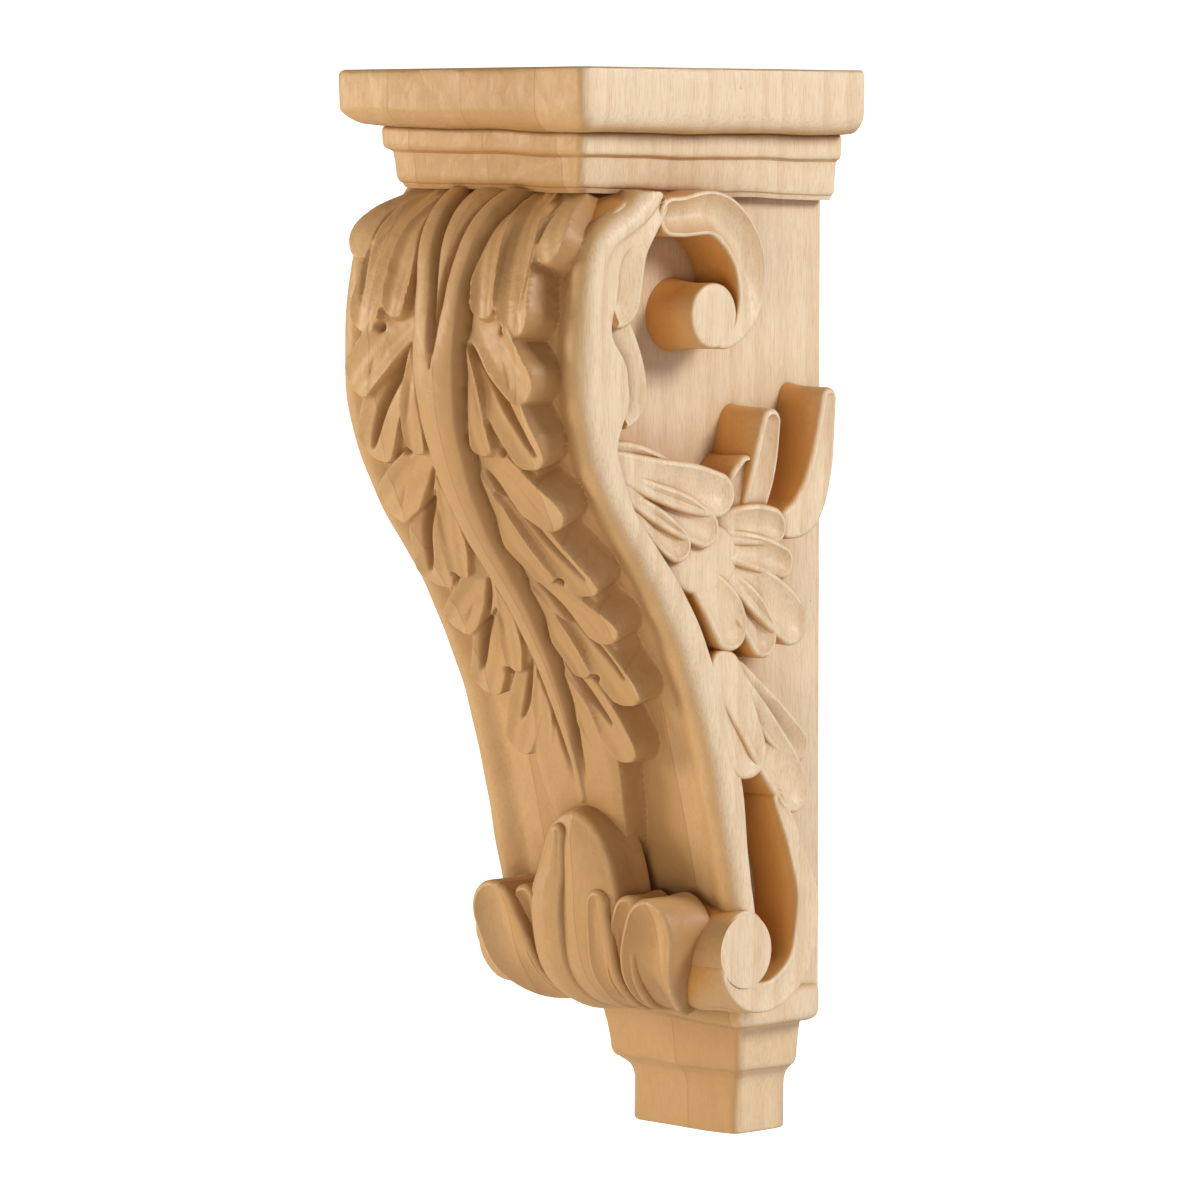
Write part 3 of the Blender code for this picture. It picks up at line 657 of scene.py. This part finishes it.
def without_crumbs(mesh):
    """Drops the crumbs that a union leaves: loose pieces of fewer points than any real shape has.

    Every point takes the lowest number found across its edges, over and over, until each loose piece
    shares one number.
    """
    edges = np.empty(len(mesh.edges) * 2, np.int32)
    mesh.edges.foreach_get("vertices", edges)
    one, other = edges.reshape(-1, 2).T
    label, settled = np.arange(len(mesh.vertices)), False
    while not settled:
        lower = np.minimum(label[one], label[other])
        lowest = label.copy()
        for ends in (one, other, label[one], label[other]):
            np.minimum.at(lowest, ends, lower)
        lowest = lowest[lowest]
        settled = bool((lowest == label).all())
        label = lowest
    crumbs = np.flatnonzero(np.bincount(label, minlength=len(label))[label] < FEWEST_POINTS)
    if len(crumbs):
        loose = bmesh.new()
        loose.from_mesh(mesh)
        loose.verts.ensure_lookup_table()
        bmesh.ops.delete(loose, geom=[loose.verts[k] for k in crumbs], context="VERTS")
        loose.to_mesh(mesh)
        loose.free()


def united(name, shells):
    """One solid from overlapping closed shells, cut off flat at the wall."""
    parts = []
    for number, (points, faces) in enumerate(shells):
        parts.append(outward(mesh_object(f"{name}_{number}", hand_wander(points), faces)))
    body, rest = parts[0], parts[1:]
    group = bpy.data.collections.new(name + "_shells")
    for part in rest:
        group.objects.link(part)
    if rest:
        union = body.modifiers.new("union", "BOOLEAN")
        union.operation, union.solver = "UNION", "MANIFOLD"
        union.operand_type, union.collection = "COLLECTION", group
    corners = ((-90, 0), (90, 0), (90, 40), (-90, 40))
    box = np.array([[(x, y, z) for x, y in corners] for z in (-20.0, HEIGHT + 20.0)])
    wall = outward(mesh_object("wall_cut", *shell(box)))
    flush = body.modifiers.new("wall", "BOOLEAN")
    flush.operation, flush.solver, flush.object = "DIFFERENCE", "MANIFOLD", wall
    without_crumbs(applied(body).data)
    for part in rest + [wall]:
        bpy.data.objects.remove(part, do_unlink=True)
    bpy.data.collections.remove(group)
    body.name = name
    return body


# ---------------------------------------------------------------- the wood's shader

def node(tree, kind, inputs=None, **settings):
    """A node with its settings and its inputs given by name or number: a value, or a socket to link."""
    made = tree.nodes.new(kind)
    for name, value in settings.items():
        setattr(made, name, value)
    for key, value in (inputs or {}).items():
        if isinstance(value, bpy.types.NodeSocket):
            tree.links.new(value, made.inputs[key])
        else:
            made.inputs[key].default_value = value
    return made


def worked(tree, operation, *values, clamp=False):
    """The result of a Math node on up to three values."""
    inputs = dict(enumerate(values))
    return node(tree, "ShaderNodeMath", inputs, operation=operation, use_clamp=clamp).outputs[0]


def ranged(tree, value, low, high, to_low=0.0, to_high=1.0):
    """A value remapped smoothly from one range to another."""
    return node(tree, "ShaderNodeMapRange", {0: value, 1: low, 2: high, 3: to_low, 4: to_high},
                interpolation_type="SMOOTHSTEP").outputs[0]


def mixed(tree, share, first, second):
    """Two colours mixed by a share."""
    return node(tree, "ShaderNodeMix", {0: share, 6: first, 7: second}, data_type="RGBA").outputs[2]


def stretched(tree, place, stretch):
    """Coordinates scaled differently along each axis."""
    return node(tree, "ShaderNodeMapping", {"Vector": place, "Scale": stretch}).outputs[0]


def noise(tree, place, scale=1.0, detail=2.0, rough=0.5, warp=0.0):
    """Fractal noise between 0 and 1."""
    made = node(tree, "ShaderNodeTexNoise", {"Vector": place, "Scale": scale, "Detail": detail,
                                             "Roughness": rough, "Distortion": warp})
    return made.outputs["Fac"]


def new_group(name, sockets_in, sockets_out):
    """An empty shader node group with named sockets."""
    tree = bpy.data.node_groups.new(name, "ShaderNodeTree")
    for label, kind, value in sockets_in:
        socket = tree.interface.new_socket(label, in_out="INPUT", socket_type=kind)
        if value is not None:
            socket.default_value = value
    for label, kind in sockets_out:
        tree.interface.new_socket(label, in_out="OUTPUT", socket_type=kind)
    return tree, tree.nodes.new("NodeGroupInput").outputs, tree.nodes.new("NodeGroupOutput").inputs


def grain_group():
    """Glued-up boards: strip tone and glue lines across X, growth rings, fibre and pores along Z.

    A strip is the whole number of pitches across X.  Each strip has its own ring centre, and rings are
    waves of the distance from it, bent by noise that is drawn out along the trunk.  Fibre and pores are
    noise stretched many times longer along Z than across it.
    """
    vector, value = "NodeSocketVector", "NodeSocketFloat"
    tree, given, out = new_group("board_grain", [
        ("Place", vector, None), ("Strip Pitch", value, 0.034), ("Strip Start", value, 0.002),
        ("Ring Spacing", value, 0.0085), ("Pore Length", value, 0.0026)],
        [("Strip Tone", value), ("Rings", value), ("Fibre", value), ("Pores", value), ("Glue Line", value)])
    place = given["Place"]
    axes = node(tree, "ShaderNodeSeparateXYZ", {0: place}).outputs
    wander = worked(tree, "MULTIPLY", noise(tree, stretched(tree, place, (12, 12, 5)), detail=1.0), 0.0012)
    from_start = worked(tree, "SUBTRACT", worked(tree, "ADD", axes[0], wander), given["Strip Start"])
    strips = worked(tree, "DIVIDE", from_start, given["Strip Pitch"])
    strip = worked(tree, "FLOOR", strips)
    tone, second = (node(tree, "ShaderNodeTexWhiteNoise", {"W": worked(tree, "ADD", strip, start)},
                         noise_dimensions="1D") for start in (7.3, 31.7))
    tree.links.new(tone.outputs["Value"], out["Strip Tone"])
    across = worked(tree, "SUBTRACT", axes[0], worked(tree, "MULTIPLY", strip, given["Strip Pitch"]))
    bends = noise(tree, stretched(tree, place, (9, 9, 2.2)), detail=3.0, rough=0.55)
    drift = worked(tree, "MULTIPLY", bends, 0.034)
    side_x = worked(tree, "ADD", across, worked(tree, "MULTIPLY_ADD", tone.outputs["Value"], 0.10, -0.09))
    side_y = worked(tree, "ADD", axes[1], worked(tree, "MULTIPLY_ADD", second.outputs["Value"], 0.20, -0.06))
    centre = worked(tree, "SQRT", worked(tree, "ADD", worked(tree, "MULTIPLY", side_x, side_x),
                                         worked(tree, "MULTIPLY", side_y, side_y)))
    turns = worked(tree, "DIVIDE", worked(tree, "ADD", centre, drift), given["Ring Spacing"])
    part = worked(tree, "FRACT", turns)
    late = worked(tree, "MULTIPLY", ranged(tree, part, 0.25, 0.88), ranged(tree, part, 1.0, 0.9))
    uneven = noise(tree, stretched(tree, place, (60, 60, 10)), detail=2.0)
    tree.links.new(worked(tree, "MULTIPLY", late, ranged(tree, uneven, 0.3, 0.7, 0.25, 1.0)), out["Rings"])
    fibre = noise(tree, stretched(tree, place, (2100, 2100, 120)), detail=3.0, rough=0.6)
    tree.links.new(fibre, out["Fibre"])
    pore_scale = worked(tree, "DIVIDE", 1.0, given["Pore Length"])
    thin = [worked(tree, "MULTIPLY", axis, 7.0) for axis in (axes[0], axes[1])]
    squeezed = node(tree, "ShaderNodeCombineXYZ", {0: thin[0], 1: thin[1], 2: axes[2]}).outputs[0]
    cell = node(tree, "ShaderNodeTexVoronoi", {"Vector": squeezed, "Scale": pore_scale, "Randomness": 1.0})
    dot = ranged(tree, cell.outputs["Distance"], 0.30, 0.14)
    shade = node(tree, "ShaderNodeSeparateColor", {0: cell.outputs["Color"]}).outputs[0]
    tree.links.new(worked(tree, "MULTIPLY", dot, ranged(tree, shade, 0.45, 1.0)), out["Pores"])
    from_line = worked(tree, "FRACT", worked(tree, "ADD", strips, 0.5))
    near = worked(tree, "ABSOLUTE", worked(tree, "SUBTRACT", from_line, 0.5))
    tree.links.new(ranged(tree, near, 0.012, 0.003), out["Glue Line"])
    return tree


def handwork_and_shade_group():
    """Marks left by gouge and sandpaper, painted shade in the hollows and crevices, and scattered specks.

    Marks are soft noise.  The painted shade of hollows and of crevices grows where a place is sheltered,
    within the depth and within a fifth of it.  Specks are the middles of a few random cells, in patches.
    Across is how squarely a face looks sideways.
    """
    vector, value = "NodeSocketVector", "NodeSocketFloat"
    tree, given, out = new_group("handwork_and_painted_shade", [
        ("Place", vector, None), ("Mark Size", value, 0.006), ("Speck Size", value, 0.004),
        ("Depth", value, 0.022)],
        [("Marks", value), ("Hollow Shade", value), ("Crevice Shade", value), ("Specks", value), ("Across", value)])
    place = given["Place"]
    size = worked(tree, "DIVIDE", 1.0, given["Mark Size"])
    marks = noise(tree, place, size, detail=2.0, rough=0.45, warp=0.4)
    tree.links.new(marks, out["Marks"])
    # Painted shade: ambient occlusion darkens sheltered hollows and narrow crevices, where shadow falls
    hollow = node(tree, "ShaderNodeAmbientOcclusion", {"Distance": given["Depth"]}, samples=3)
    tree.links.new(ranged(tree, hollow.outputs["AO"], 0.92, 0.32), out["Hollow Shade"])
    fifth = worked(tree, "MULTIPLY", given["Depth"], 0.2)
    narrow = node(tree, "ShaderNodeAmbientOcclusion", {"Distance": fifth}, samples=3)
    tree.links.new(ranged(tree, narrow.outputs["AO"], 0.80, 0.30), out["Crevice Shade"])
    per_metre = worked(tree, "DIVIDE", 1.0, given["Speck Size"])
    cell = node(tree, "ShaderNodeTexVoronoi", {"Vector": place, "Scale": per_metre})
    shade = node(tree, "ShaderNodeSeparateColor", {0: cell.outputs["Color"]}).outputs
    speck = worked(tree, "MULTIPLY", ranged(tree, cell.outputs["Distance"], 0.13, 0.05),
                   ranged(tree, shade[1], 0.72, 0.95))
    patches = ranged(tree, noise(tree, place, 38.0, detail=2.0), 0.50, 0.66)
    tree.links.new(worked(tree, "MULTIPLY", speck, patches), out["Specks"])
    normal = node(tree, "ShaderNodeNewGeometry").outputs["Normal"]
    facing = node(tree, "ShaderNodeSeparateXYZ", {0: normal}).outputs[0]
    tree.links.new(ranged(tree, worked(tree, "ABSOLUTE", facing), 0.30, 0.95), out["Across"])
    return tree


def lacquered_hardwood(name, carved, painted_shade_share):
    """Satin lacquer over pale glued-up hardwood, darker and warmer on faces that look to the front, partly
    from the cut of the grain and partly as painted shade, with the sideways faces painted paler as if lit.

    Walls get painted shade up to the level of the rim: brown on the front's walls, which face across, and
    amber, as painted shade and bounced light, on the side carving's walls, which do not.  Hollows and
    crevices get painted shade on every piece.
    """
    material = bpy.data.materials.new(name)
    material.use_nodes = True
    tree = material.node_tree
    tree.nodes.clear()
    place = node(tree, "ShaderNodeTexCoord").outputs["Object"]
    grain = node(tree, "ShaderNodeGroup", node_tree=grain_group())
    marks_and_shade = node(tree, "ShaderNodeGroup", node_tree=handwork_and_shade_group())
    for made in (grain, marks_and_shade):
        tree.links.new(place, made.inputs["Place"])
    grain, marks_and_shade = grain.outputs, marks_and_shade.outputs
    pale, dim = (0.808, 0.672, 0.508, 1), (0.728, 0.545, 0.352, 1)
    tan, deep_tan = (0.660, 0.415, 0.196, 1), (0.515, 0.290, 0.112, 1)
    # The sideways colour is paler and the front colour darker: partly the cut of the grain, partly painted
    # light on the sides and painted shade on the front
    side_grain_and_light = mixed(tree, grain["Strip Tone"], pale, dim)
    front_grain_and_shade = mixed(tree, grain["Strip Tone"], tan, deep_tan)
    across = marks_and_shade["Across"]
    from_middle = worked(tree, "ABSOLUTE", node(tree, "ShaderNodeSeparateXYZ", {0: place}).outputs[0])
    if carved == "front":
        # Painted shade: the front's walls that face across are painted brown, darker than the tops, inside
        # the rim
        on_rim = ranged(tree, from_middle, 0.0500, 0.0555)
        wall = worked(tree, "MULTIPLY", across, worked(tree, "SUBTRACT", 0.75, on_rim, clamp=True))
        front_grain_and_shade = mixed(tree, wall, front_grain_and_shade, (0.370, 0.200, 0.082, 1))
        across = worked(tree, "MULTIPLY", across, on_rim)
    elif carved == "side":
        # Painted shade and bounced light: sheltered walls below the outer faces are painted amber
        sheltered = worked(tree, "MULTIPLY", ranged(tree, from_middle, 0.0568, 0.0545, 0.0, 0.85),
                           ranged(tree, marks_and_shade["Hollow Shade"], 0.0, 0.10))
        front_grain_and_shade = mixed(tree, sheltered, front_grain_and_shade, (0.790, 0.340, 0.045, 1))
    # Painted light and shade by facing, partly the grain's cut: faces that look sideways are paler, faces
    # that look to the front darker
    colour = mixed(tree, across, front_grain_and_shade, side_grain_and_light)
    # Rings, fibre, pores, specks and glue lines are the wood's own colour; the hollow and crevice entries are
    # painted shade
    for source, share, tint in ((grain["Rings"], 0.24, (0.50, 0.270, 0.105, 1)),
                                (ranged(tree, grain["Fibre"], 0.42, 0.72), 0.32, (0.46, 0.25, 0.10, 1)),
                                (grain["Pores"], 0.30, (0.36, 0.17, 0.07, 1)),
                                (marks_and_shade["Specks"], 0.55, (0.42, 0.16, 0.08, 1)),
                                (marks_and_shade["Hollow Shade"], painted_shade_share, (0.42, 0.205, 0.065, 1)),
                                (marks_and_shade["Crevice Shade"], 0.60, (0.26, 0.125, 0.040, 1)),
                                (grain["Glue Line"], 0.40, (0.34, 0.17, 0.07, 1))):
        colour = mixed(tree, worked(tree, "MULTIPLY", source, share), colour, tint)
    rough = worked(tree, "ADD", ranged(tree, grain["Fibre"], 0.3, 0.8, 0.46, 0.58),
                   ranged(tree, marks_and_shade["Marks"], 0.3, 0.7, -0.04, 0.06))
    height = worked(tree, "MULTIPLY_ADD", marks_and_shade["Marks"], 1.0, worked(tree, "MULTIPLY", grain["Fibre"], 0.05))
    height = worked(tree, "SUBTRACT", height, worked(tree, "MULTIPLY", grain["Pores"], 0.05))
    bump = node(tree, "ShaderNodeBump", {"Height": height, "Strength": 0.55, "Distance": 0.0011})
    skin = node(tree, "ShaderNodeBsdfPrincipled", {
        "Base Color": colour, "Roughness": rough, "Normal": bump.outputs[0], "IOR": 1.47,
        "Coat Weight": 0.10, "Coat Roughness": 0.34, "Specular IOR Level": 0.36})
    node(tree, "ShaderNodeOutputMaterial", {"Surface": skin.outputs[0]})
    return material


# ---------------------------------------------------------------- finished pieces

def finished(made, material):
    """Shades a piece smooth up to its sharp edges, gives it the wood, and hangs it on the corbel."""
    made.data.materials.clear()
    made.data.materials.append(material)
    area = np.empty(len(made.data.polygons))
    made.data.polygons.foreach_get("area", area)
    made.data.polygons.foreach_set("use_smooth", area < LARGE_FLAT_FACE)
    made.data.set_sharp_from_angle(angle=math.radians(SHARP_ANGLE))
    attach(made, "root")
    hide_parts("corbel")
    return made


# The last number is how strongly painted shade darkens each wood's hollows
front_wood = lacquered_hardwood("front_hardwood", "front", 0.55)
body_wood = lacquered_hardwood("body_hardwood", "", 0.45)
side_wood = lacquered_hardwood("carved_hardwood", "side", 0.55)
for name, low, high, rows in (("leaf_front_upper", 128.0, SCROLL_LENGTH, 320),
                              ("leaf_front_lower", -9.0, 128.0, 327)):
    finished(united(name, [front_plate(low, high, rows)]), front_wood)
finished(united("small_leaf_and_roll", [roll()] + small_leaf()), front_wood)
finished(united("body", [core(), cap(), foot()]), body_wood)
for name, side in (("right_carving", 1), ("left_carving", -1)):
    finished(united(name, side_carving(side)), side_wood)


# ---------------------------------------------------------------- floor, light and camera

def studio_floor(level, half_size, glow):
    """A plain pale floor, well under the corbel, which hangs on its wall."""
    mesh = bpy.data.meshes.new("floor")
    corners = [(x * half_size, y * half_size, level) for x, y in ((-1, -1), (1, -1), (1, 1), (-1, 1))]
    mesh.from_pydata(corners, [], [(0, 1, 2, 3)])
    floor = bpy.data.objects.new("floor", mesh)
    bpy.context.scene.collection.objects.link(floor)
    paint = bpy.data.materials.new("floor_white")
    paint.use_nodes = True
    tree = paint.node_tree
    skin = tree.nodes["Principled BSDF"].inputs
    skin["Base Color"].default_value = (0.9, 0.9, 0.9, 1)
    skin["Roughness"].default_value = 0.9
    skin["Emission Color"].default_value = (1, 1, 1, 1)
    eye = node(tree, "ShaderNodeLightPath").outputs["Is Camera Ray"]
    tree.links.new(worked(tree, "MULTIPLY", eye, glow), skin["Emission Strength"])
    mesh.materials.append(paint)


def softbox(name, spot, size, power, colour=(1, 1, 1)):
    """A square soft light at a spot in metres, turned to the corbel."""
    lamp = bpy.data.lights.new(name, "AREA")
    lamp.size, lamp.energy, lamp.color = size, power, colour
    box = bpy.data.objects.new(name, lamp)
    box.location = spot
    box.rotation_euler = box.location.to_track_quat("Z", "Y").to_euler()
    bpy.context.scene.collection.objects.link(box)


def white_surround(seen, given):
    """A plain white surround: bright to the eye, and softer as a light."""
    world = bpy.data.worlds.new("surround")
    world.use_nodes = True
    tree = world.node_tree
    tree.nodes.clear()
    eye = node(tree, "ShaderNodeLightPath").outputs["Is Camera Ray"]
    strength = worked(tree, "MULTIPLY_ADD", eye, seen - given, given)
    glow = node(tree, "ShaderNodeBackground", {"Color": (1, 1, 1, 1), "Strength": strength})
    node(tree, "ShaderNodeOutputWorld", {"Surface": glow.outputs[0]})
    bpy.context.scene.world = world


def long_lens(turn, rise, distance, aim, focal):
    """The camera: it looks at a point from a turn to the right of the front, and a rise above it."""
    back = np.array([math.sin(turn) * math.cos(rise), -math.cos(turn) * math.cos(rise), math.sin(rise)])
    lens = bpy.data.cameras.new("camera")
    lens.lens, lens.sensor_width = focal, 36.0
    view = bpy.data.objects.new("camera", lens)
    view.location = (np.array(aim) + back * distance).tolist()
    view.rotation_euler = (math.pi / 2 - rise, 0.0, turn)
    bpy.context.scene.collection.objects.link(view)
    bpy.context.scene.camera = view


studio_floor(-0.55, 30.0, 1.1)
white_surround(seen=1.25, given=0.20)
softbox("key", (1.5, 0.7, 0.95), 0.6, 27.5, (1.0, 0.98, 0.94))
softbox("front_fill", (-1.5, -1.25, 0.25), 0.7, 23.0, (1.0, 0.93, 0.80))
softbox("front_glow", (0.9, -1.8, -0.35), 1.0, 19.0, (1.0, 0.94, 0.84))
bearing, aside = math.radians(44.3), -0.0462    # the camera's turn, and how far aside of the middle it aims
aim = (aside * math.cos(bearing), aside * math.sin(bearing), -0.0004)
long_lens(bearing, math.radians(4.22), 2.035, aim, 180.0)
bpy.context.scene.view_settings.view_transform = "Standard"
